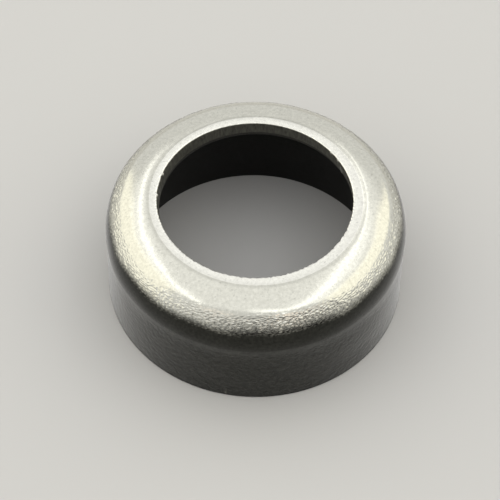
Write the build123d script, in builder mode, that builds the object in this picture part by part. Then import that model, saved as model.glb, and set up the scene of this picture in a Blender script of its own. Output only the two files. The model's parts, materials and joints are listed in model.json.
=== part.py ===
from build123d import *
import os
from math import asin, cos, degrees, radians, sin

# Thrust washer, pressed from one blank of steel sheet.
#
# The blank is drawn into a shallow cup, so the washer is a ring with an L-shaped
# section: a flat thrust face round the shaft hole, a full rounded shoulder, and a
# straight skirt that ends in a trimmed rim. It stands on that rim.
#
# Origin: centre of the rim's plane. +Z runs up the axis, out through the hole.
# All lengths are in millimetres and all angles in degrees.

# ---- driving dimensions ------------------------------------------------------

outer_diameter = 25.0      # widest part, over the band above the draw line
overall_height = 10.6      # rim to thrust face
sheet_thickness = 1.5
hole_diameter = 16.0       # burnished part of the pierced hole
thrust_face_width = 0.78   # flat ring pressed round the hole
face_break = 6.0           # the shoulder leaves the thrust face at this slope

lower_turn = 20.0          # turned by the shoulder's lower arc, beside the skirt
middle_turn = 50.0         # turned by its tight middle arc
lower_share = 1.235        # lower arc's radius, as a share of the shoulder's reach
middle_share = 0.8625      # middle arc's radius, as a share of it

band_height = 0.10         # straight band between the shoulder and the draw line
ironing_step = 0.05        # how far the ironed skirt lies inside that band
ironing_ramp = 0.10        # height over which the step is taken

hole_break = 0.06          # edge turned in where the piercing punch went in
breakout_depth = 0.40      # torn lower part of the hole's wall
breakout_flare = 0.10      # how much wider that part is at the underside
rim_outer_break = 0.10     # edge of the trimmed rim, outside
rim_inner_break = 0.10     # and inside

# ---- dependent sizes ---------------------------------------------------------

outer_radius = outer_diameter / 2
hole_radius = hole_diameter / 2
bore_radius = outer_radius - sheet_thickness
skirt_radius = outer_radius - ironing_step
underside_z = overall_height - sheet_thickness
breakout_z = underside_z + breakout_depth

# The shoulder leaves the skirt upright and leans in by three tangent arcs, until
# it meets the thrust face at the break. Lean is counted from upright. The upper
# arc takes up whatever reach the other two leave.
face_edge_radius = hole_radius + thrust_face_width
shoulder_reach = outer_radius - face_edge_radius
lean_1 = radians(lower_turn)
lean_2 = radians(lower_turn + middle_turn)
lean_3 = radians(90 - face_break)
lower_radius = lower_share * shoulder_reach
middle_radius = middle_share * shoulder_reach
lower_reach = lower_radius * (1 - cos(lean_1))
middle_reach = middle_radius * (cos(lean_1) - cos(lean_2))
upper_radius = (shoulder_reach - lower_reach - middle_reach) / (cos(lean_2) - cos(lean_3))


def rise_of(lower, middle, upper, top_lean):
    """Height gained by three arcs of these radii, up to a lean of top_lean."""
    return (
        lower * sin(lean_1)
        + middle * (sin(lean_2) - sin(lean_1))
        + upper * (sin(top_lean) - sin(lean_2))
    )


shoulder_start_z = overall_height - rise_of(lower_radius, middle_radius, upper_radius, lean_3)
draw_line_z = shoulder_start_z - band_height

# Inside, the same arcs run one sheet thickness further in, and the upper one is
# cut short where it meets the flat underside.
inner_lower = lower_radius - sheet_thickness
inner_middle = middle_radius - sheet_thickness
inner_upper = upper_radius - sheet_thickness
height_left = underside_z - shoulder_start_z - rise_of(inner_lower, inner_middle, inner_upper, lean_2)
inner_lean = asin(sin(lean_2) + height_left / inner_upper)


def shoulder_arcs(start, radii, top_lean):
    """Draw the shoulder's three arcs upwards from start, up to a lean of top_lean."""
    lower = JernArc(start=start, tangent=(0, 1), radius=radii[0], arc_size=lower_turn)
    middle = JernArc(start=lower @ 1, tangent=lower % 1, radius=radii[1], arc_size=middle_turn)
    upper_turn = degrees(top_lean - lean_2)
    return JernArc(start=middle @ 1, tangent=middle % 1, radius=radii[2], arc_size=upper_turn)


# ---- the washer --------------------------------------------------------------

with BuildPart() as thrust_washer:
    with BuildSketch(Plane.XZ) as section:
        with BuildLine() as outline:
            # outside: rim, ironed skirt, draw line, band, shoulder
            skin = Polyline(
                (bore_radius, 0),
                (skirt_radius, 0),
                (skirt_radius, draw_line_z - ironing_ramp),
                (outer_radius, draw_line_z),
                (outer_radius, shoulder_start_z),
            )
            crown = shoulder_arcs(skin @ 1, (lower_radius, middle_radius, upper_radius), lean_3)
            # inside: bore of the skirt, then the shoulder seen from within
            bore = Line((bore_radius, 0), (bore_radius, shoulder_start_z))
            vault = shoulder_arcs(bore @ 1, (inner_lower, inner_middle, inner_upper), inner_lean)
            # thrust face, pierced hole with its torn lower part, underside
            Polyline(
                crown @ 1,
                (hole_radius, overall_height),
                (hole_radius, breakout_z),
                (hole_radius + breakout_flare, underside_z),
                vault @ 1,
            )
        make_face()
        for corner, size in (
            ((hole_radius, overall_height), hole_break),
            ((skirt_radius, 0), rim_outer_break),
            ((bore_radius, 0), rim_inner_break),
        ):
            chamfer(section.vertices().sort_by_distance(corner)[0], length=size)
    revolve(axis=Axis.Z)

thrust_washer.part.label = "thrust_washer"

os.makedirs("parts", exist_ok=True)
export_step(thrust_washer.part, "parts/thrust_washer.step")

print(f"shoulder: reach {shoulder_reach:.2f}, starts at z {shoulder_start_z:.3f}")
print(f"radii {lower_radius:.2f}, {middle_radius:.2f}, {upper_radius:.2f}; inner lean {degrees(inner_lean):.2f}")
print(f"underside ends at r {(vault @ 1).X:.3f}, volume {thrust_washer.part.volume:.1f} mm3")
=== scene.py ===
"""Thrust washer: the drawn steel skin, its finishes, the studio and the camera.

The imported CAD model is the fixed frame. Its one node is a plain turned section, and
the skin made here stands for it: the same section walked far more finely, with the
grain, the witness line and the small nicks that pressing leaves in the sheet. All is
in metres in the frame's own axes: the rim lies on z = 0 and +Z runs out of the hole.
"""

import json
import logging
import math
from dataclasses import dataclass, field
from enum import IntEnum

import bpy
import numpy as np
from mathutils import Matrix, Quaternion, Vector


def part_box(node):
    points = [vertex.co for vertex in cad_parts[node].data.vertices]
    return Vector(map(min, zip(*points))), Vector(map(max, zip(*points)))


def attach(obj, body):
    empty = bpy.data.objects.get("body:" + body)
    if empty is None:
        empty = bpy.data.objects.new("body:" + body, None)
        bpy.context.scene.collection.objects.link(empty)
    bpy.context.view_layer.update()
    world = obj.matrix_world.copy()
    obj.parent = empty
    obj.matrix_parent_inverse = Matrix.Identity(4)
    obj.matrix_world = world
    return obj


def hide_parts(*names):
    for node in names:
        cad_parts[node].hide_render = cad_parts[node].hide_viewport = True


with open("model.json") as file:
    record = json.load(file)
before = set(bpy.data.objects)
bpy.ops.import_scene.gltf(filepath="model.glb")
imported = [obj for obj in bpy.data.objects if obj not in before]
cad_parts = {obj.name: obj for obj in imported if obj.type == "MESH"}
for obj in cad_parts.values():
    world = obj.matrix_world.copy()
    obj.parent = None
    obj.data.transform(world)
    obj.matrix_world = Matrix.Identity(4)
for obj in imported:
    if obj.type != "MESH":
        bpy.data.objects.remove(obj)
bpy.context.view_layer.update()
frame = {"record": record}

MM = 0.001
NODE = "thrust_washer"
BODY = "root"
# Share of the dark tone painted on each point of the skin as shade.
PAINTED_SHADE = "painted_shade_left"
STRETCHED = "stretched"
QUARTER = math.pi / 2
log = logging.getLogger("thrust_washer")


# ---- small helpers ----


def linear(hex_colour: str) -> tuple[float, float, float, float]:
    """Turn an sRGB hex colour into linear light.

    Args:
        hex_colour: Six hex digits, such as "c8c8c4".

    Returns:
        Red, green and blue in linear light, and an alpha of 1.
    """
    channels = [int(hex_colour[i:i + 2], 16) / 255 for i in (0, 2, 4)]
    r, g, b = [c / 12.92 if c <= 0.04045 else ((c + 0.055) / 1.055) ** 2.4 for c in channels]
    return r, g, b, 1.0


def per_metre(size_mm: float) -> float:
    """Scale of a noise pattern, on Object coordinates, whose features measure size_mm."""
    return 1.0 / (size_mm * MM)


def smooth_step(x: np.ndarray, low: float, high: float) -> np.ndarray:
    """Smooth rise from 0 at low to 1 at high: 3t^2 - 2t^3 of the clipped share t."""
    t = np.clip((x - low) / (high - low), 0, 1)
    return t * t * (3 - 2 * t)


def add_node(tree: bpy.types.NodeTree, kind: str, inputs: dict | None = None,
             **settings: object) -> bpy.types.Node:
    """Add one shader node with its settings, values and links.

    Args:
        tree: The node tree it goes into.
        kind: The node's Blender type name.
        inputs: Socket name or number to a value, or to the output socket that feeds it.
        **settings: Properties of the node itself.

    Returns:
        The new node.
    """
    node = tree.nodes.new(kind)
    for name, value in settings.items():
        setattr(node, name, value)
    for name, value in (inputs or {}).items():
        if isinstance(value, bpy.types.NodeSocket):
            tree.links.new(value, node.inputs[name])
        else:
            node.inputs[name].default_value = value
    return node


def new_material(name: str) -> tuple[bpy.types.Material, bpy.types.NodeTree]:
    """Make an empty node material.

    Args:
        name: The material's name.

    Returns:
        The material and its cleared node tree.
    """
    material = bpy.data.materials.new(name)
    material.use_nodes = True
    material.node_tree.nodes.clear()
    return material, material.node_tree


def build_mesh(name: str, points: np.ndarray, corners: np.ndarray,
               slots: np.ndarray) -> bpy.types.Mesh:
    """Put whole arrays into a mesh of smooth four-sided faces.

    Args:
        name: The mesh's name.
        points: One row of x, y, z for each vertex.
        corners: Four vertex numbers for each face, anticlockwise from outside.
        slots: Material slot of each face.

    Returns:
        The mesh, checked and updated.
    """
    mesh = bpy.data.meshes.new(name)
    mesh.vertices.add(len(points))
    mesh.vertices.foreach_set("co", points.astype(np.float32).ravel())
    mesh.loops.add(corners.size)
    mesh.loops.foreach_set("vertex_index", corners.astype(np.int32).ravel())
    mesh.polygons.add(len(corners))
    mesh.polygons.foreach_set("loop_start", np.arange(0, corners.size, 4, dtype=np.int32))
    mesh.polygons.foreach_set("material_index", slots.astype(np.int32))
    mesh.update(calc_edges=True)
    mesh.validate()
    mesh.shade_smooth()
    return mesh


# ---- the section ----


class Zone(IntEnum):
    """The parts of the section that are finished differently, as material slots."""

    FACE = 0
    SHOULDER = 1
    DRAW_LINE = 2
    SKIRT = 3
    PIERCED = 4
    TORN = 5
    INSIDE = 6
    RIM = 7


def mount_radius(name: str) -> float:
    """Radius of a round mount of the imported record, in metres."""
    found = [m for m in frame["record"]["mounts"] if m["name"] == name]
    return found[0]["dims"]["r_mm"] * MM


@dataclass(frozen=True)
class Sizes:
    """The washer's sizes, in metres and radians. The first four come from the frame.

    Attributes:
        outer_radius: Over the band above the draw line.
        height: Rim to thrust face.
        hole_radius: Burnished part of the pierced hole.
        bore_radius: Inside the skirt.
        face_width: Flat ring pressed round the hole.
        face_break: Slope at which the shoulder leaves the thrust face.
        lower_turn: Turned by the shoulder's lower arc, beside the skirt.
        middle_turn: Turned by its tight middle arc.
        lower_share: Lower arc's radius, as a share of the shoulder's reach.
        middle_share: Middle arc's radius, as a share of it.
        band_height: Straight band between the shoulder and the draw line.
        ironing_step: How far the ironed skirt lies inside that band.
        ironing_ramp: Height over which the step is taken, softer than in the CAD model.
        hole_break: Edge turned in where the piercing punch went in.
        breakout_depth: Torn lower part of the hole's wall.
        breakout_flare: How much wider that part is at the underside.
        rim_break: Edges of the trimmed rim.
    """

    outer_radius: float
    height: float
    hole_radius: float
    bore_radius: float
    face_width: float = 0.78 * MM
    face_break: float = math.radians(6)
    lower_turn: float = math.radians(20)
    middle_turn: float = math.radians(50)
    lower_share: float = 1.235
    middle_share: float = 0.8625
    band_height: float = 0.10 * MM
    ironing_step: float = 0.05 * MM
    ironing_ramp: float = 0.70 * MM
    hole_break: float = 0.06 * MM
    breakout_depth: float = 0.40 * MM
    breakout_flare: float = 0.10 * MM
    rim_break: float = 0.10 * MM

    @classmethod
    def from_frame(cls) -> "Sizes":
        """Read the outer sizes from the CAD node's box and the bores from its mounts.

        Returns:
            The washer's sizes.
        """
        low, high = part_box(NODE)
        return cls(
            outer_radius=(high[0] - low[0]) / 2,
            height=high[2] - low[2],
            hole_radius=mount_radius("shaft_hole"),
            bore_radius=mount_radius("cup_bore"),
        )

    @property
    def sheet(self) -> float:
        """Thickness of the sheet."""
        return self.outer_radius - self.bore_radius

    @property
    def face_edge(self) -> float:
        """Radius where the thrust face breaks into the shoulder."""
        return self.hole_radius + self.face_width

    @property
    def leans(self) -> tuple[float, float, float]:
        """Lean of the shoulder from upright at the top of each of its three arcs."""
        return self.lower_turn, self.lower_turn + self.middle_turn, QUARTER - self.face_break

    @property
    def arcs(self) -> tuple[float, float, float]:
        """Radii of the shoulder's arcs.

        Each arc reaches inwards by its radius times the fall in the cosine of its lean,
        and the upper one takes the reach that the other two leave.

        Returns:
            Radius of the lower, the middle and the upper arc.
        """
        reach = self.outer_radius - self.face_edge
        first, second, third = (math.cos(lean) for lean in self.leans)
        lower, middle = self.lower_share * reach, self.middle_share * reach
        left = reach - lower * (1 - first) - middle * (first - second)
        return lower, middle, left / (second - third)

    @property
    def shoulder_rise(self) -> float:
        """Height of the shoulder: each radius times the gain in the sine of its lean."""
        heights = [0.0] + [math.sin(lean) for lean in self.leans]
        return sum(radius * (heights[i + 1] - heights[i]) for i, radius in enumerate(self.arcs))

    @property
    def shoulder_start(self) -> float:
        """Height at which the shoulder begins to lean in."""
        return self.height - self.shoulder_rise

    @property
    def draw_line(self) -> float:
        """Height at which the ironed skirt stops."""
        return self.shoulder_start - self.band_height


@dataclass
class Section:
    """The closed outline of the sheet, walked from the rim up the outside and back inside.

    Points are in the plane of radius and height. Each run adds its points after the
    last one, so a run never repeats the corner that it starts from.
    """

    radius: list[np.ndarray] = field(default_factory=list)
    height: list[np.ndarray] = field(default_factory=list)
    zone: list[np.ndarray] = field(default_factory=list)

    def add(self, r: np.ndarray, z: np.ndarray, zone: Zone) -> None:
        """Append points that belong to one zone.

        Args:
            r: Radius of each point.
            z: Height of each point.
            zone: What finish they take.
        """
        self.radius.append(r)
        self.height.append(z)
        self.zone.append(np.full(len(r), int(zone)))

    def end(self) -> tuple[float, float]:
        """The last point added."""
        return self.radius[-1][-1], self.height[-1][-1]

    def run(self, r: float, z: float, rows: int, zone: Zone) -> None:
        """Straight run to (r, z): the point at t is start + t (end - start).

        Args:
            r: Radius of the run's end.
            z: Height of the run's end.
            rows: How many points it adds.
            zone: What finish it takes.
        """
        t = np.arange(1, rows + 1) / rows
        r0, z0 = self.end()
        self.add(r0 + t * (r - r0), z0 + t * (z - z0), zone)

    def turn(self, heading: float, radius: float, angle: float, rows: int, zone: Zone) -> None:
        """Arc that leaves the last point along a heading and turns by an angle.

        The point at turn a is start + radius times the integral of the heading vector,
        (cos h, sin h), as h goes from heading to heading + a. A negative angle turns
        the other way.

        Args:
            heading: Direction at the start, in radians from the radius axis.
            radius: The arc's radius.
            angle: How far it turns, in radians, anticlockwise if positive.
            rows: How many points it adds.
            zone: What finish it takes.
        """
        side = math.copysign(1, angle)
        h = heading + angle * np.arange(1, rows + 1) / rows
        r0, z0 = self.end()
        r = r0 + side * radius * (np.sin(h) - math.sin(heading))
        z = z0 - side * radius * (np.cos(h) - math.cos(heading))
        self.add(r, z, zone)

    def arrays(self) -> tuple[np.ndarray, np.ndarray, np.ndarray]:
        """Radius, height and zone of every row, as flat arrays."""
        return np.concatenate(self.radius), np.concatenate(self.height), np.concatenate(self.zone)


# ---- the surface relief ----


@dataclass(frozen=True)
class Nick:
    """One small dent or raised burr, rubbed down to bare metal or not.

    Attributes:
        bearing: Direction round the axis, in degrees from +X.
        out: Distance along the outline from the hole's top edge, in mm, outwards.
        width: Its half width round the axis, in mm.
        length: Its half length along the outline, in mm.
        depth: How far it goes in, in mm; a negative depth stands proud.
        bare: Share of the painted shade taken off at its middle, so the metal's lighter tone
        shows.
    """

    bearing: float
    out: float
    width: float
    length: float
    depth: float
    bare: float = 0.0

    def bell(self, out: np.ndarray, angle: np.ndarray, radius: np.ndarray) -> np.ndarray:
        """Bell over the nick: exp(-(x/width)^2 - (y/length)^2).

        Args:
            out: Distance of each row from the hole's edge, in metres.
            angle: Bearing of each column, in radians.
            radius: Radius of each row, in metres.

        Returns:
            Array of rows by columns, from 0 to 1.
        """
        turn = (angle - math.radians(self.bearing) + math.pi) % (2 * math.pi) - math.pi
        across = radius[:, None] * turn[None, :] / (self.width * MM)
        along = (out[:, None] - self.out * MM) / (self.length * MM)
        return np.exp(-across ** 2 - along ** 2)


NICKS = (
    # Burrs and a tick on the left of the hole's edge.
    Nick(179.0, -0.04, 0.10, 0.14, -0.13, 0.9),
    Nick(173.6, -0.32, 0.05, 0.16, -0.02, 0.6),
    Nick(169.5, -0.02, 0.45, 0.10, -0.05),
    Nick(162.7, -0.04, 0.10, 0.10, -0.12, 0.9),
    Nick(152.0, -0.20, 0.06, 0.14, -0.02, 0.3),
    # Burrs on its right, and two bright specks on the wall below them.
    Nick(39.2, -0.02, 0.16, 0.10, -0.06, 0.5),
    Nick(32.0, -0.02, 0.14, 0.10, -0.08, 0.6),
    Nick(29.4, -0.60, 0.09, 0.16, -0.05, 1.0),
    Nick(28.6, -1.05, 0.09, 0.16, -0.05, 1.0),
    # Two faint ticks on the top and three small glints on the rim in front.
    Nick(267.7, 0.72, 0.06, 0.16, 0.012),
    Nick(256.5, 1.85, 0.05, 0.20, 0.012),
    Nick(259.8, 13.25, 0.07, 0.08, 0.02, 0.5),
    Nick(261.3, 13.15, 0.06, 0.08, 0.02, 0.3),
    Nick(262.8, 13.10, 0.06, 0.07, 0.02, 0.3),
)


@dataclass(frozen=True)
class Ripples:
    """Even, repeatable ripples of the sheet whose wavelengths lie in one band.

    Attributes:
        shortest: Shortest wavelength, in mm, measured round the axis.
        longest: Longest wavelength, in mm, measured the same way.
        seed: Seed of the white noise that they are made from.
        stretch: How many times longer a ripple is round the axis than along the outline.
    """

    shortest: float
    longest: float
    seed: int
    stretch: float = 1.0

    def over(self, rows: int, columns: int, steps: tuple[float, float]) -> np.ndarray:
        """Lay the ripples over an even grid.

        White noise is turned to waves by a Fourier transform, every wave outside the band
        is faded by a smooth bell in the logarithm of its wavelength, and it is turned back.

        Args:
            rows: Samples along the outline.
            columns: Samples round the axis; the ripples repeat after the last.
            steps: Distance between samples in metres, round the axis and along the outline.

        Returns:
            Array of rows by columns, with a mean of 0 and a deviation of 1.
        """
        noise = np.random.default_rng(self.seed).standard_normal((rows, columns))
        round_axis = np.fft.fftfreq(columns, steps[0])[None, :]
        along = np.fft.fftfreq(rows, steps[1])[:, None] / self.stretch
        never_zero = 1e-9
        frequency = np.hypot(round_axis, along) + never_zero
        shortest, longest = self.shortest * MM, self.longest * MM
        middle = 0.5 * (math.log(1 / shortest) + math.log(1 / longest))
        spread = 0.5 * math.log(longest / shortest)
        weight = np.exp(-0.5 * ((np.log(frequency) - middle) / spread) ** 2)
        waves = np.real(np.fft.ifft2(np.fft.fft2(noise) * weight))
        return (waves - waves.mean()) / waves.std()


# ---- the finishes ----


@dataclass(frozen=True)
class Grain:
    """A fine grain in the steel's surface, too shallow for the mesh.

    Attributes:
        width_mm: Width of its features.
        depth_mm: Height of its features.
        stretch: How many times longer they are up the axis than across.
        detail: How many times finer noise is laid over it, each half as wide.
        harshness: Strength of each of those against the one before.
    """

    width_mm: float
    depth_mm: float = 0.0
    stretch: float = 1.0
    detail: float = 3.0
    harshness: float = 0.65

    def draw(self, tree: bpy.types.NodeTree) -> bpy.types.NodeSocket:
        """Draw the grain on Object coordinates, as noise drawn out up the axis.

        Args:
            tree: The node tree it goes into.

        Returns:
            The socket that gives it, from 0 to 1.
        """
        place = add_node(tree, "ShaderNodeTexCoord").outputs["Object"]
        drawn = add_node(tree, "ShaderNodeMapping",
                         {"Vector": place, "Scale": (1.0, 1.0, 1 / self.stretch)})
        noise = add_node(tree, "ShaderNodeTexNoise",
                         {"Vector": drawn.outputs["Vector"], "Scale": per_metre(self.width_mm),
                          "Detail": self.detail, "Roughness": self.harshness})
        return noise.outputs["Fac"]


@dataclass(frozen=True)
class Steel:
    """Satin low-carbon steel, with a dark tone painted over parts of it as shade.

    The painted shade stands for the dark reflections low on the shoulder and on the skirt,
    and for the shade in the hole, in the cup and at the rim. How much of it lies on a point
    comes from one attribute of the skin, which its relief shapes, and small pits in the
    metal keep a little of it. The crumpled grain is a second bump, drawn only where the
    skin's other attribute says that the sheet was stretched.

    Attributes:
        name: The material's name.
        painted_shade: Lighter and darker tone of the dark shade painted on.
        roughness: How much it spreads a reflection.
        bare: Lighter and darker tone of the metal where no shade is painted.
        grain: The fine grain of the surface. Real satin steel has a grain of under
            0.1 mm; this one is drawn coarser so that it shows.
        grain_tones: Limits of the grain between which the darker tone gives way.
        peel: The crumpled grain, wider round the axis than along it.
        pits: Small pits in the metal, which keep a little of the painted shade.
        pit_edges: Limits of their noise from the edge of a pit to its middle.
        pit_painted_shade: Share of the painted shade that the middle of a pit keeps.
        dust: How much soap dust pales the surface where it is seen edge-on.
        dust_spread: How far from edge-on that reaches.
        metallic: How much of the light it mirrors rather than scatters.
    """

    name: str
    painted_shade: tuple[str, str]
    roughness: float
    bare: tuple[str, str] = ("dfded3", "cccbc0")
    grain: Grain = Grain(0.26, 0.0015)
    grain_tones: tuple[float, float] = (0.3, 0.7)
    peel: Grain = Grain(0.50, 0.036, 0.5)
    pits: Grain = Grain(0.24)
    pit_edges: tuple[float, float] = (0.60, 0.74)
    pit_painted_shade: float = 0.28
    dust: float = 0.45
    dust_spread: float = 0.32
    metallic: float = 1.0

    def colour(self, tree: bpy.types.NodeTree, grain: bpy.types.NodeSocket) -> bpy.types.NodeSocket:
        """Colour of the painted shade where it lies, and of the metal elsewhere.

        Args:
            tree: The node tree it goes into.
            grain: Noise of the fine grain.

        Returns:
            The socket that gives the colour.
        """
        low, high = self.grain_tones
        speckle = add_node(tree, "ShaderNodeMapRange",
                           {"Value": grain, "From Min": low, "From Max": high}).outputs["Result"]
        edge, middle = self.pit_edges
        pits = add_node(tree, "ShaderNodeMapRange",
                        {"Value": self.pits.draw(tree), "From Min": edge, "From Max": middle,
                         "To Max": self.pit_painted_shade}).outputs["Result"]
        # Share of painted shade here: the skin's share, with a little more in the pits.
        painted_shade_share = add_node(tree, "ShaderNodeAttribute", attribute_name=PAINTED_SHADE).outputs["Fac"]
        left = add_node(tree, "ShaderNodeMath", {0: painted_shade_share, 1: pits}, use_clamp=True)
        metal = add_node(tree, "ShaderNodeMix",
                         {"Factor": speckle, "A": linear(self.bare[1]), "B": linear(self.bare[0])},
                         data_type="RGBA")
        painted_shade = add_node(tree, "ShaderNodeMix",
                        {"Factor": speckle, "A": linear(self.painted_shade[1]), "B": linear(self.painted_shade[0])},
                        data_type="RGBA")
        tone = add_node(tree, "ShaderNodeMix",
                        {"Factor": left.outputs["Value"], "A": metal.outputs["Result"],
                         "B": painted_shade.outputs["Result"]}, data_type="RGBA")
        return tone.outputs["Result"]

    def bumps(self, tree: bpy.types.NodeTree, grain: bpy.types.NodeSocket) -> bpy.types.NodeSocket:
        """Normal with the fine grain and, where the sheet was stretched, the crumpled one.

        Args:
            tree: The node tree it goes into.
            grain: Noise of the fine grain.

        Returns:
            The socket that gives the normal.
        """
        stretched = add_node(tree, "ShaderNodeAttribute", attribute_name=STRETCHED).outputs["Fac"]
        height = add_node(tree, "ShaderNodeMath", {0: self.peel.draw(tree), 1: stretched},
                          operation="MULTIPLY")
        crumpled = add_node(tree, "ShaderNodeBump",
                            {"Height": height.outputs["Value"], "Strength": 1.0,
                             "Distance": self.peel.depth_mm * MM})
        fine = add_node(tree, "ShaderNodeBump",
                        {"Height": grain, "Strength": 1.0, "Distance": self.grain.depth_mm * MM,
                         "Normal": crumpled.outputs["Normal"]})
        return fine.outputs["Normal"]

    def build(self) -> bpy.types.Material:
        """Make the material.

        Returns:
            The finished material.
        """
        material, tree = new_material(self.name)
        grain = self.grain.draw(tree)
        shader = add_node(tree, "ShaderNodeBsdfPrincipled",
                          {"Base Color": self.colour(tree, grain), "Metallic": self.metallic,
                           "Roughness": self.roughness, "Sheen Weight": self.dust,
                           "Sheen Roughness": self.dust_spread,
                           "Normal": self.bumps(tree, grain)})
        add_node(tree, "ShaderNodeOutputMaterial", {"Surface": shader.outputs["BSDF"]})
        return material


FINISHES = {
    # Burnished by the flat of the punch: the smoothest and brightest metal on the part. Its
    # darker tone is shade painted into the witness line and on the face's outer part.
    Zone.FACE: Steel("burnished_thrust_face", ("4e4e4a", "33332f"), 0.20,
                     bare=("f1f0e7", "e1e0d7"), dust=0.0),
    # Drawn over the die and rubbed on its crown: bright satin metal there, with tight
    # highlights. Low down it is painted dark as shade, for its dark reflections.
    Zone.SHOULDER: Steel("drawn_shoulder_steel", ("3a3a36", "282825"), 0.19, dust=0.50),
    # Painted shade, a little lighter here than on the skirt: a painted highlight, a soft pale
    # line where the ironing ring began.
    Zone.DRAW_LINE: Steel("draw_line_painted_highlight", ("464642", "2a2a27"), 0.26,
                          grain=Grain(0.60, 0.0015), dust=0.60),
    # Ironed through the die, and painted dark all over as shade for its dark reflections:
    # dark satin that pales at its sides. The grain is drawn coarser and deeper than real so
    # that it shows.
    Zone.SKIRT: Steel("ironed_skirt_painted_shade", ("3a3a36", "242420"), 0.24,
                      grain=Grain(0.40, 0.038), dust=0.75),
    # Sheared by the punch and scored along its travel: half dull, with upright marks. Its dark
    # tone is partly the sheared metal's own and partly shade painted into the hole.
    Zone.PIERCED: Steel("pierced_wall_steel", ("6e6d63", "45443e"), 0.45,
                        grain=Grain(0.18, 0.006, 4.0), metallic=0.5, dust=0.0),
    # Torn off below that, so it is rougher; its darker tone is partly the torn metal's own and
    # partly shade painted deeper in the hole.
    Zone.TORN: Steel("torn_wall_steel", ("4c4b44", "34332f"), 0.60,
                     grain=Grain(0.14, 0.012, 1.5), metallic=0.5, dust=0.0),
    # Inside the cup: painted dark all over as its shade, and without highlights.
    Zone.INSIDE: Steel("cup_inside_painted_shade", ("2b2b29", "21211f"), 0.45, dust=0.0),
    # Trimmed square, and painted near black as a contact shadow along the foot of the
    # skirt: a dull edge.
    Zone.RIM: Steel("trimmed_rim_painted_shadow", ("1e1e1d", "151514"), 0.50,
                    grain=Grain(0.14, 0.004), dust=0.0),
}


@dataclass(frozen=True)
class Paper:
    """Matt pale studio paper under the washer: an even tone with no shine."""

    name: str = "pale_studio_paper"
    colour: str = "c8c7c4"
    roughness: float = 0.9

    def build(self) -> bpy.types.Material:
        """Make the material.

        Returns:
            The finished material.
        """
        material, tree = new_material(self.name)
        shader = add_node(tree, "ShaderNodeBsdfPrincipled",
                          {"Base Color": linear(self.colour), "Roughness": self.roughness})
        add_node(tree, "ShaderNodeOutputMaterial", {"Surface": shader.outputs["BSDF"]})
        return material


# ---- the washer ----


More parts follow.
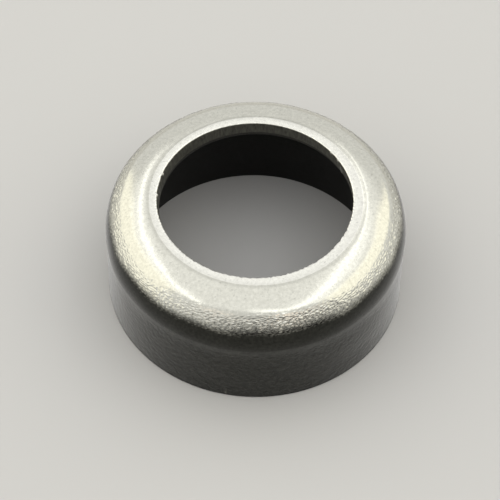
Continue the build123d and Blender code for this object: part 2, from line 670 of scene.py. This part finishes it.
@dataclass
class WasherSkin:
    """The washer's whole surface as one closed skin.

    The section is carried round the axis: row i of the outline and column j of the turn
    give the point (r_i cos a_j, r_i sin a_j, z_i), moved along the outline's own normal
    by the relief at that place. Places along the outline are distances from the hole's
    top edge, counted outwards. What comes or goes gradually has a pair of places, where
    it starts to and where it has done so. Lengths are in metres.

    Attributes:
        sizes: The washer's sizes.
        columns: Points in each row.
        painted_shadow_height: Height above its outer break that takes the rim's near black
        painted contact shadow.
        field_step: Distance between the rows of the even grid that ripples are laid over.
        ridges: Fine ridges of the crumpled grain.
        cells: Coarser cells of the crumpled grain.
        peel_mix: How much the ridges and the cells each add to it.
        peel_crest: Height above which its crests are flattened, in its own deviations.
        peel_comes: Where the stretch that crumples the sheet sets in.
        peel_goes: Where it stops, low on the shoulder.
        peel_depth: Height of one deviation of the crumpled grain.
        swell: Broad swell of the whole sheet.
        swell_comes: Where the swell sets in, beside the hole.
        swell_goes: Where it stops, above the rim.
        swell_depth: Height of one deviation of the swell.
        witness_out: Place of the line that the punch left round the thrust face.
        witness_width: Half width of that line.
        witness_depth: Depth of that line.
        chips: Uneven wear round the hole's edge.
        chips_reach: How far from the edge that wear fades out.
        chips_depth: Height of one deviation of it.
        painted_shade_fades: Heights between which the painted shade gives out, as shares of
            the shoulder; below them the shoulder is painted dark for its dark reflections.
        painted_shade_on_peel: How much higher a crest of the crumpled grain counts for the
            painted shade, so that it stays longest in the grain's hollows.
        painted_shade_on_swell: The same for a crest of the swell.
        painted_shade_in_witness: Share of painted shade in the witness line.
        painted_shade_on_face: Share of painted shade on the outer part of the thrust face.
        painted_shade_face_comes: Where that share sets in.
        hole_drift: How far the hole's top edge sits off the axis, along X and Y.
        hole_lean: How much further its lower edge does.
        hole_reach: Distance from its wall within which the whole drift holds; it is gone
            at the edge of the thrust face.
    """

    sizes: Sizes
    columns: int = 720
    painted_shadow_height: float = 0.10 * MM
    field_step: float = 0.04 * MM
    ridges: Ripples = Ripples(0.22, 0.48, seed=11, stretch=2.2)
    cells: Ripples = Ripples(0.42, 0.95, seed=7, stretch=1.7)
    peel_mix: tuple[float, float] = (0.8, 0.9)
    peel_crest: float = 2.0
    peel_comes: tuple[float, float] = (3.0 * MM, 4.0 * MM)
    peel_goes: tuple[float, float] = (4.3 * MM, 5.2 * MM)
    peel_depth: float = 0.025 * MM
    swell: Ripples = Ripples(4.0, 9.0, seed=5)
    swell_comes: tuple[float, float] = (0.0, 1.0 * MM)
    swell_goes: tuple[float, float] = (12.0 * MM, 13.0 * MM)
    swell_depth: float = 0.006 * MM
    witness_out: float = 0.88 * MM
    witness_width: float = 0.15 * MM
    witness_depth: float = 0.011 * MM
    chips: Ripples = Ripples(0.30, 1.4, seed=3)
    chips_reach: float = 0.12 * MM
    chips_depth: float = 0.016 * MM
    painted_shade_fades: tuple[float, float] = (0.40, 0.62)
    painted_shade_on_peel: float = 0.09 * MM
    painted_shade_on_swell: float = 0.05 * MM
    painted_shade_in_witness: float = 0.18
    painted_shade_on_face: float = 0.07
    painted_shade_face_comes: tuple[float, float] = (0.2 * MM, 0.7 * MM)
    hole_drift: tuple[float, float] = (-0.11 * MM, 0.04 * MM)
    hole_lean: tuple[float, float] = (0.20 * MM, 0.0)
    hole_reach: float = 0.2 * MM

    def outline(self) -> tuple[np.ndarray, np.ndarray, np.ndarray]:
        """Walk the section. A run gets the more rows, the more it bends and shines.

        Inside, the shoulder's arcs run one sheet thickness further in, and the upper one
        is cut short where it meets the flat underside.

        Returns:
            Radius, height and zone of each row.
        """
        s = self.sizes
        lower, middle, upper = s.arcs
        lean_1, lean_2, lean_3 = s.leans
        skirt_radius = s.outer_radius - s.ironing_step
        underside = s.height - s.sheet

        inner = [radius - s.sheet for radius in s.arcs]
        left = underside - s.shoulder_start - inner[0] * math.sin(lean_1)
        left -= inner[1] * (math.sin(lean_2) - math.sin(lean_1))
        inner_lean = math.asin(math.sin(lean_2) + left / inner[2])
        inner_edge = s.bore_radius - inner[0] * (1 - math.cos(lean_1))
        inner_edge -= inner[1] * (math.cos(lean_1) - math.cos(lean_2))
        inner_edge -= inner[2] * (math.cos(lean_2) - math.cos(inner_lean))

        walk = Section()
        walk.add(np.array([s.bore_radius + s.rim_break]), np.array([0.0]), Zone.RIM)
        walk.run(skirt_radius - s.rim_break, 0.0, rows=2, zone=Zone.RIM)
        walk.run(skirt_radius, s.rim_break, rows=2, zone=Zone.RIM)
        # The rim's near black painted contact shadow runs this far up the skirt.
        walk.run(skirt_radius, s.rim_break + self.painted_shadow_height, rows=1, zone=Zone.RIM)
        walk.run(skirt_radius, s.draw_line - s.ironing_ramp, rows=7, zone=Zone.SKIRT)
        walk.run(s.outer_radius, s.draw_line, rows=3, zone=Zone.DRAW_LINE)
        walk.run(s.outer_radius, s.shoulder_start, rows=1, zone=Zone.SHOULDER)
        walk.turn(QUARTER, lower, lean_1, rows=20, zone=Zone.SHOULDER)
        walk.turn(QUARTER + lean_1, middle, lean_2 - lean_1, rows=54, zone=Zone.SHOULDER)
        walk.turn(QUARTER + lean_2, upper, lean_3 - lean_2, rows=18, zone=Zone.SHOULDER)
        walk.run(s.hole_radius + s.hole_break, s.height, rows=7, zone=Zone.FACE)
        walk.run(s.hole_radius, s.height - s.hole_break, rows=1, zone=Zone.PIERCED)
        walk.run(s.hole_radius, underside + s.breakout_depth, rows=3, zone=Zone.PIERCED)
        walk.run(s.hole_radius + s.breakout_flare, underside, rows=2, zone=Zone.TORN)
        walk.run(inner_edge, underside, rows=1, zone=Zone.INSIDE)
        walk.turn(0.0, inner[2], lean_2 - inner_lean, rows=1, zone=Zone.INSIDE)
        walk.turn(lean_2 - QUARTER, inner[1], lean_1 - lean_2, rows=5, zone=Zone.INSIDE)
        walk.turn(lean_1 - QUARTER, inner[0], -lean_1, rows=2, zone=Zone.INSIDE)
        walk.run(s.bore_radius, s.rim_break, rows=1, zone=Zone.INSIDE)
        return walk.arrays()

    def normals(self, r: np.ndarray, z: np.ndarray) -> tuple[np.ndarray, np.ndarray]:
        """Outward normal of each row: the mean direction of its two sides, turned a quarter.

        Args:
            r: Radius of each row.
            z: Height of each row.

        Returns:
            Its part along the radius and its part along the height.
        """
        before = np.stack([r - np.roll(r, 1), z - np.roll(z, 1)], axis=1)
        after = np.roll(before, -1, axis=0)
        before /= np.linalg.norm(before, axis=1)[:, None]
        after /= np.linalg.norm(after, axis=1)[:, None]
        along = before + after
        along /= np.linalg.norm(along, axis=1)[:, None]
        return along[:, 1], -along[:, 0]

    def places(self, r: np.ndarray, z: np.ndarray, zone: np.ndarray) -> np.ndarray:
        """Distance of each row along the outline from the hole's top edge, outwards.

        Args:
            r: Radius of each row.
            z: Height of each row.
            zone: Zone of each row.

        Returns:
            One distance for each row, negative down the hole and inside.
        """
        walk = np.concatenate([[0.0], np.cumsum(np.hypot(np.diff(r), np.diff(z)))])
        last_of_face = np.flatnonzero(zone == Zone.FACE)[-1]
        return walk[last_of_face] + self.sizes.hole_break - walk

    def fields(self, out: np.ndarray, radius: np.ndarray) -> tuple[np.ndarray, np.ndarray]:
        """Crumpled grain and broad swell, laid over an even grid and read at each row.

        The crumpled grain adds fine ridges to the absolute value of coarser ripples,
        whose zero lines make the edges of its cells.

        Args:
            out: Distance of each row along the outline from the hole's top edge.
            radius: Radius of each row.

        Returns:
            Two arrays of rows by columns, with a mean of 0.
        """
        start = out.min()
        rows = int((out.max() - start) / self.field_step) + 2
        steps = (2 * math.pi * radius.mean() / self.columns, self.field_step)
        ridges = self.ridges.over(rows, self.columns, steps)
        cells = np.abs(self.cells.over(rows, self.columns, steps))
        peel = self.peel_mix[0] * ridges + self.peel_mix[1] * (cells - cells.mean())
        swell = self.swell.over(rows, self.columns, steps)
        place = (out - start) / self.field_step
        low = np.clip(place.astype(int), 0, rows - 2)
        share = (place - low)[:, None]
        return tuple((1 - share) * waves[low] + share * waves[low + 1] for waves in (peel, swell))

    def stretched(self, out: np.ndarray) -> np.ndarray:
        """How far the sheet was stretched at each row, from 0 to 1: most where it bends most."""
        return smooth_step(out, *self.peel_comes) * (1 - smooth_step(out, *self.peel_goes))

    def witness(self, out: np.ndarray) -> np.ndarray:
        """Round-bottomed line at witness_out: exp(-((out - place) / width)^2)."""
        return np.exp(-((out - self.witness_out) / self.witness_width) ** 2)

    def ragged(self, out: np.ndarray) -> np.ndarray:
        """Uneven wear of the hole's edge, 0 or more: chips times exp(-(out / reach)^2).

        Args:
            out: Distance of each row along the outline from the hole's top edge.

        Returns:
            Array of rows by columns.
        """
        step = 2 * math.pi * self.sizes.hole_radius / self.columns
        rows = 4  # The ripples need a few, and the first is the edge.
        chips = self.chips.over(rows, self.columns, (step, step))[0]
        return np.exp(-(out / self.chips_reach) ** 2)[:, None] * (chips - chips.min())

    def relief(self, out: np.ndarray, radius: np.ndarray, angle: np.ndarray,
               peel: np.ndarray, swell: np.ndarray) -> np.ndarray:
        """How far each point stands off the plain section; never outside its box.

        Five things add up: the crumpled grain of the stretched shoulder, a broad swell of
        the whole sheet, the witness line that the punch left round the thrust face, the
        ragged edge of the hole, and the nicks.

        Args:
            out: Distance of each row along the outline from the hole's top edge.
            radius: Radius of each row.
            angle: Bearing of each column.
            peel: Crumpled grain at each point.
            swell: Broad swell at each point.

        Returns:
            Array of rows by columns, in metres, positive outwards.
        """
        outside = smooth_step(out, *self.swell_comes) * (1 - smooth_step(out, *self.swell_goes))
        crumpled = np.minimum(peel, self.peel_crest) - self.peel_crest
        off = self.peel_depth * self.stretched(out)[:, None] * crumpled
        off += self.swell_depth * outside[:, None] * (swell - swell.max())
        off -= self.witness_depth * self.witness(out)[:, None]
        off -= self.chips_depth * self.ragged(out)
        for nick in NICKS:
            off -= nick.depth * MM * nick.bell(out, angle, radius)
        return off

    def painted_shade(self, out: np.ndarray, radius: np.ndarray, height: np.ndarray, angle: np.ndarray,
             peel: np.ndarray, swell: np.ndarray) -> np.ndarray:
        """Share of the dark shade painted at each point, from 0 to 1.

        It is painted shade for the dark reflections and the shade of these places: whole on the
        skirt, in the hole and inside, and low on the shoulder. Above that it gives out, the
        crests of the grain first; a trace stays in the witness line and on the outer part of the
        thrust face.

        Args:
            out: Distance of each row along the outline from the hole's top edge.
            radius: Radius of each row.
            height: Height of each row.
            angle: Bearing of each column.
            peel: Crumpled grain at each point.
            swell: Broad swell at each point.

        Returns:
            Array of rows by columns.
        """
        s = self.sizes
        whole, gone = (s.shoulder_start + share * s.shoulder_rise for share in self.painted_shade_fades)
        crests = self.painted_shade_on_peel * np.clip(peel, -self.peel_crest, self.peel_crest)
        left = 1 - smooth_step(height[:, None] + crests + self.painted_shade_on_swell * swell, whole, gone)
        # Down the hole and inside the cup the shade is painted whole.
        left[out < 0] = 1.0
        # A little shade is painted into the witness line and on the outer part of the thrust face.
        on_face = smooth_step(out, *self.painted_shade_face_comes) * (out < s.face_width)
        left += (self.painted_shade_in_witness * self.witness(out) + self.painted_shade_on_face * on_face)[:, None]
        for nick in NICKS:
            left -= nick.bare * nick.bell(out, angle, radius)
        return np.clip(left, 0, 1)

    def points(self, r: np.ndarray, z: np.ndarray, angle: np.ndarray,
               off: np.ndarray) -> np.ndarray:
        """Carry the section round the axis, with its relief and the hole's lean.

        Args:
            r: Radius of each row.
            z: Height of each row.
            angle: Bearing of each column.
            off: Relief at each point, along the row's normal.

        Returns:
            Array of rows by columns by x, y and z.
        """
        s = self.sizes
        out_r, out_z = self.normals(r, z)
        radius = np.minimum(r[:, None] + off * out_r[:, None], s.outer_radius)
        height = np.clip(z[:, None] + off * out_z[:, None], 0.0, s.height)
        near_hole = (1 - smooth_step(r, s.hole_radius + self.hole_reach, s.face_edge))[:, None]
        down_hole = np.clip((s.height - z[:, None]) / s.sheet, 0, 1)
        x, y = (radius * turn + near_hole * (drift + down_hole * lean) for turn, drift, lean
                in zip((np.cos(angle), np.sin(angle)), self.hole_drift, self.hole_lean))
        return np.stack([x, y, height], axis=-1)

    def mesh(self) -> bpy.types.Mesh:
        """Put the skin into a mesh, with its share of painted shade and its stretch as attributes.

        Returns:
            A closed mesh of four-sided faces with one material slot for each zone.
        """
        r, z, zone = self.outline()
        out = self.places(r, z, zone)
        angle = np.arange(self.columns) * 2 * math.pi / self.columns
        peel, swell = self.fields(out, r)
        points = self.points(r, z, angle, self.relief(out, r, angle, peel, swell))

        rows, columns = len(r), self.columns
        i, j = np.meshgrid(np.arange(rows), np.arange(columns), indexing="ij")
        i_next, j_next = (i + 1) % rows, (j + 1) % columns
        corners = np.stack([i * columns + j, i * columns + j_next,
                            i_next * columns + j_next, i_next * columns + j], axis=-1)
        mesh = build_mesh("thrust_washer_skin", points.reshape(-1, 3), corners.reshape(-1, 4),
                          np.repeat(np.roll(zone, -1), columns))
        shares = {PAINTED_SHADE: self.painted_shade(out, r, z, angle, peel, swell),
                  STRETCHED: np.repeat(self.stretched(out), columns)}
        for name, values in shares.items():
            attribute = mesh.attributes.new(name, "FLOAT", "POINT")
            attribute.data.foreach_set("value", values.astype(np.float32).ravel())
        return mesh

    def build(self) -> bpy.types.Object:
        """Make the skin, dress it and let it stand for the CAD node.

        Returns:
            The finished piece.
        """
        mesh = self.mesh()
        for zone in Zone:
            mesh.materials.append(FINISHES[zone].build())
        piece = bpy.data.objects.new("washer_skin", mesh)
        bpy.context.collection.objects.link(piece)
        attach(piece, BODY)
        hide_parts(NODE)
        return piece


# ---- the studio ----


@dataclass(frozen=True)
class Softbox:
    """One flat lamp of the light tent, unseen by the camera.

    Attributes:
        name: What the lamp is.
        place: Its centre, in metres.
        facing: Direction in which it shines.
        along: Direction of its long side.
        size: Its short and its long side, in metres.
        brightness: Radiance of its face; 1 is white.
        colour: Its sRGB hex colour.
    """

    name: str
    place: tuple[float, float, float]
    facing: tuple[float, float, float]
    along: tuple[float, float, float]
    size: tuple[float, float]
    brightness: float
    colour: str = "ffffff"

    def build(self) -> bpy.types.Object:
        """Make the lamp. A flat lamp of power P and area A has a face of radiance P / (pi A).

        Returns:
            The lamp's object.
        """
        lamp = bpy.data.lights.new(self.name, "AREA")
        lamp.shape = "RECTANGLE"
        lamp.size, lamp.size_y = self.size
        lamp.energy = self.brightness * math.pi * self.size[0] * self.size[1]
        lamp.color = linear(self.colour)[:3]
        back = -Vector(self.facing).normalized()
        side = Vector(self.along).cross(back).normalized()
        turn = Matrix((side, back.cross(side), back)).transposed()
        piece = bpy.data.objects.new(self.name, lamp)
        piece.matrix_world = Matrix.Translation(self.place) @ turn.to_4x4()
        piece.visible_camera = False
        bpy.context.collection.objects.link(piece)
        return piece


@dataclass(frozen=True)
class Studio:
    """A pale light tent over a pale floor, open at the front.

    Attributes:
        floor_size: Side of the floor, in metres.
        ceiling: Height of the roof, in metres.
        wall: Distance of each side wall from the axis, in metres.
        inward: The way in from the open front, up and slightly left. Its product with a
            direction says how far that direction looks into the tent.
        cloth_comes: Limits of that product between which the open front gives way to cloth.
        cloth: Tone of the tent's cloth.
        gap: Tone of its open front.
        cream: Colour of the lamps in the side walls.
        warm: Colour of the low lamps in front.
    """

    floor_size: float = 4.0
    ceiling: float = 0.34
    wall: float = 0.30
    inward: tuple[float, float, float] = (-0.26, 0.966, 0.60)
    cloth_comes: tuple[float, float] = (-0.97, -0.22)
    cloth: str = "ededed"
    gap: str = "33312f"
    cream: str = "fff8da"
    warm: str = "ffe9d6"

    def roof_lamp(self, name: str, at: tuple[float, float], size: tuple[float, float],
                  brightness: float, slant: float = 0.0, height: float = 0.98) -> Softbox:
        """A lamp that shines straight down. All its lengths are shares of the ceiling's height.

        Args:
            name: What the lamp is.
            at: Its centre, along X and Y.
            size: Its short and its long side.
            brightness: Radiance of its face.
            slant: How far its long side leans to the right as it goes back.
            height: Its height.

        Returns:
            The lamp.
        """
        z = self.ceiling
        return Softbox(name, (at[0] * z, at[1] * z, height * z), (0.0, 0.0, -1.0),
                       (slant, 1.0, 0.0), (size[0] * z, size[1] * z), brightness)

    def lamps(self) -> list[Softbox]:
        """The lamps of the tent.

        A dim panel fills the roof. Two bright strips run back along it, with a narrow slit
        beside the right one, and a light and a faint panel hang over its front. Three
        small warm lamps stand low in front, and each side wall glows.

        Returns:
            The lamps, from the roof down.
        """
        return [
            self.roof_lamp("ceiling_panel", (-0.05, 0.30), (1.8, 1.8), 0.25, height=1.0),
            self.roof_lamp("right_strip", (0.40, 0.31), (0.09, 1.76), 1.2, slant=-0.09),
            self.roof_lamp("right_slit", (0.53, 0.32), (0.045, 1.00), 0.75),
            self.roof_lamp("left_strip", (-0.56, 0.37), (0.11, 1.80), 1.2, slant=0.06),
            self.roof_lamp("front_light", (0.22, -0.56), (0.42, 0.20), 0.85),
            self.roof_lamp("front_panel", (0.55, -0.40), (0.45, 0.45), 0.2),
            Softbox("low_fill_middle", (0.095, -0.222, 0.176), (-0.33, 0.73, -0.58),
                    (1, 0, 0), (0.05, 0.08), 0.95, self.warm),
            Softbox("low_fill_right", (0.170, -0.183, 0.165), (-0.57, 0.61, -0.55),
                    (1, 1, 0), (0.03, 0.09), 0.35, self.warm),
            Softbox("low_fill_left", (-0.106, -0.210, 0.171), (0.36, 0.71, -0.58),
                    (1, 0, 0), (0.05, 0.10), 0.45, self.warm),
            Softbox("left_wall", (-self.wall, 0.12, 0.21), (1, 0, 0), (0, 1, 0),
                    (0.36, 0.52), 0.55, self.cream),
            Softbox("right_wall", (self.wall, 0.07, 0.26), (-1, 0, 0), (0, 1, 0),
                    (0.28, 0.54), 0.60, self.cream),
        ]

    def floor(self) -> None:
        """Lay a flat pale floor at the rim's height."""
        half = self.floor_size / 2
        points = np.array([(-half, -half, 0), (half, -half, 0), (half, half, 0), (-half, half, 0)])
        mesh = build_mesh("floor", points, np.array([[0, 1, 2, 3]]), np.zeros(1))
        mesh.materials.append(Paper().build())
        floor = bpy.data.objects.new("floor", mesh)
        bpy.context.collection.objects.link(floor)

    def room(self) -> None:
        """Light the tent's cloth evenly; it fades low down towards the open front."""
        world = bpy.data.worlds.new("tent")
        bpy.context.scene.world = world
        world.use_nodes = True
        tree = world.node_tree
        tree.nodes.clear()
        way = add_node(tree, "ShaderNodeTexCoord").outputs["Generated"]
        inward = add_node(tree, "ShaderNodeVectorMath", {0: way, 1: self.inward},
                          operation="DOT_PRODUCT").outputs["Value"]
        low, high = self.cloth_comes
        share = add_node(tree, "ShaderNodeMapRange",
                         {"Value": inward, "From Min": low, "From Max": high}).outputs["Result"]
        tone = add_node(tree, "ShaderNodeMix",
                        {"Factor": share, "A": linear(self.gap), "B": linear(self.cloth)},
                        data_type="RGBA").outputs["Result"]
        light = add_node(tree, "ShaderNodeBackground", {"Color": tone, "Strength": 1.0})
        add_node(tree, "ShaderNodeOutputWorld", {"Surface": light.outputs["Background"]})

    def build(self) -> None:
        """Make the floor, the room's even light and the lamps."""
        self.floor()
        self.room()
        for lamp in self.lamps():
            lamp.build()


@dataclass(frozen=True)
class Viewpoint:
    """The camera: a close, slightly long lens that looks down into the cup.

    Attributes:
        elevation: Height above the horizon, in degrees.
        distance: From the aim to the lens, in outer radii.
        aim_height: Height of the point that it goes round, in outer radii.
        lens: Focal length, in millimetres.
        sensor: Width of the sensor behind the lens, in millimetres.
        reach: Nearest and furthest thing that it shows, in metres.
        turn: How far the washer sits right of the middle, as an angle in degrees.
        lift: How far it sits above the middle, as an angle in degrees.
        roll: How far its right side dips, in degrees.
    """

    elevation: float = 52.6
    distance: float = 14.25
    aim_height: float = 0.4
    lens: float = 153.0
    sensor: float = 36.0
    reach: tuple[float, float] = (0.01, 10.0)
    turn: float = 0.14
    lift: float = 0.27
    roll: float = 1.23

    def build(self, sizes: Sizes) -> bpy.types.Object:
        """Make the camera.

        Args:
            sizes: The washer's sizes, which scale the distance.

        Returns:
            The camera's object, which is also made the scene's camera.
        """
        up_angle = math.radians(self.elevation)
        away = Vector((0, -math.cos(up_angle), math.sin(up_angle)))
        aim = Vector((0, 0, self.aim_height * sizes.outer_radius))
        data = bpy.data.cameras.new("camera")
        data.lens = self.lens
        data.sensor_width = self.sensor
        data.clip_start, data.clip_end = self.reach
        camera = bpy.data.objects.new("camera", data)
        camera.location = aim + away * self.distance * sizes.outer_radius
        camera.rotation_mode = "QUATERNION"
        facing = (-away).to_track_quat("-Z", "Y")
        facing @= Quaternion((0, 1, 0), math.radians(self.turn))
        facing @= Quaternion((1, 0, 0), math.radians(-self.lift))
        facing @= Quaternion((0, 0, 1), math.radians(self.roll))
        camera.rotation_quaternion = facing
        bpy.context.collection.objects.link(camera)
        bpy.context.scene.camera = camera
        return camera


def main() -> None:
    """Build the washer, the studio and the camera in order."""
    logging.basicConfig(level=logging.INFO, format="%(name)s: %(message)s")
    bpy.context.scene.view_settings.view_transform = "Standard"
    sizes = Sizes.from_frame()
    piece = WasherSkin(sizes).build()
    log.info("%s: %d faces", piece.name, len(piece.data.polygons))
    Studio().build()
    camera = Viewpoint().build(sizes)
    log.info("camera %.0f mm away", camera.location.length / MM)


if __name__ == "__main__":
    main()
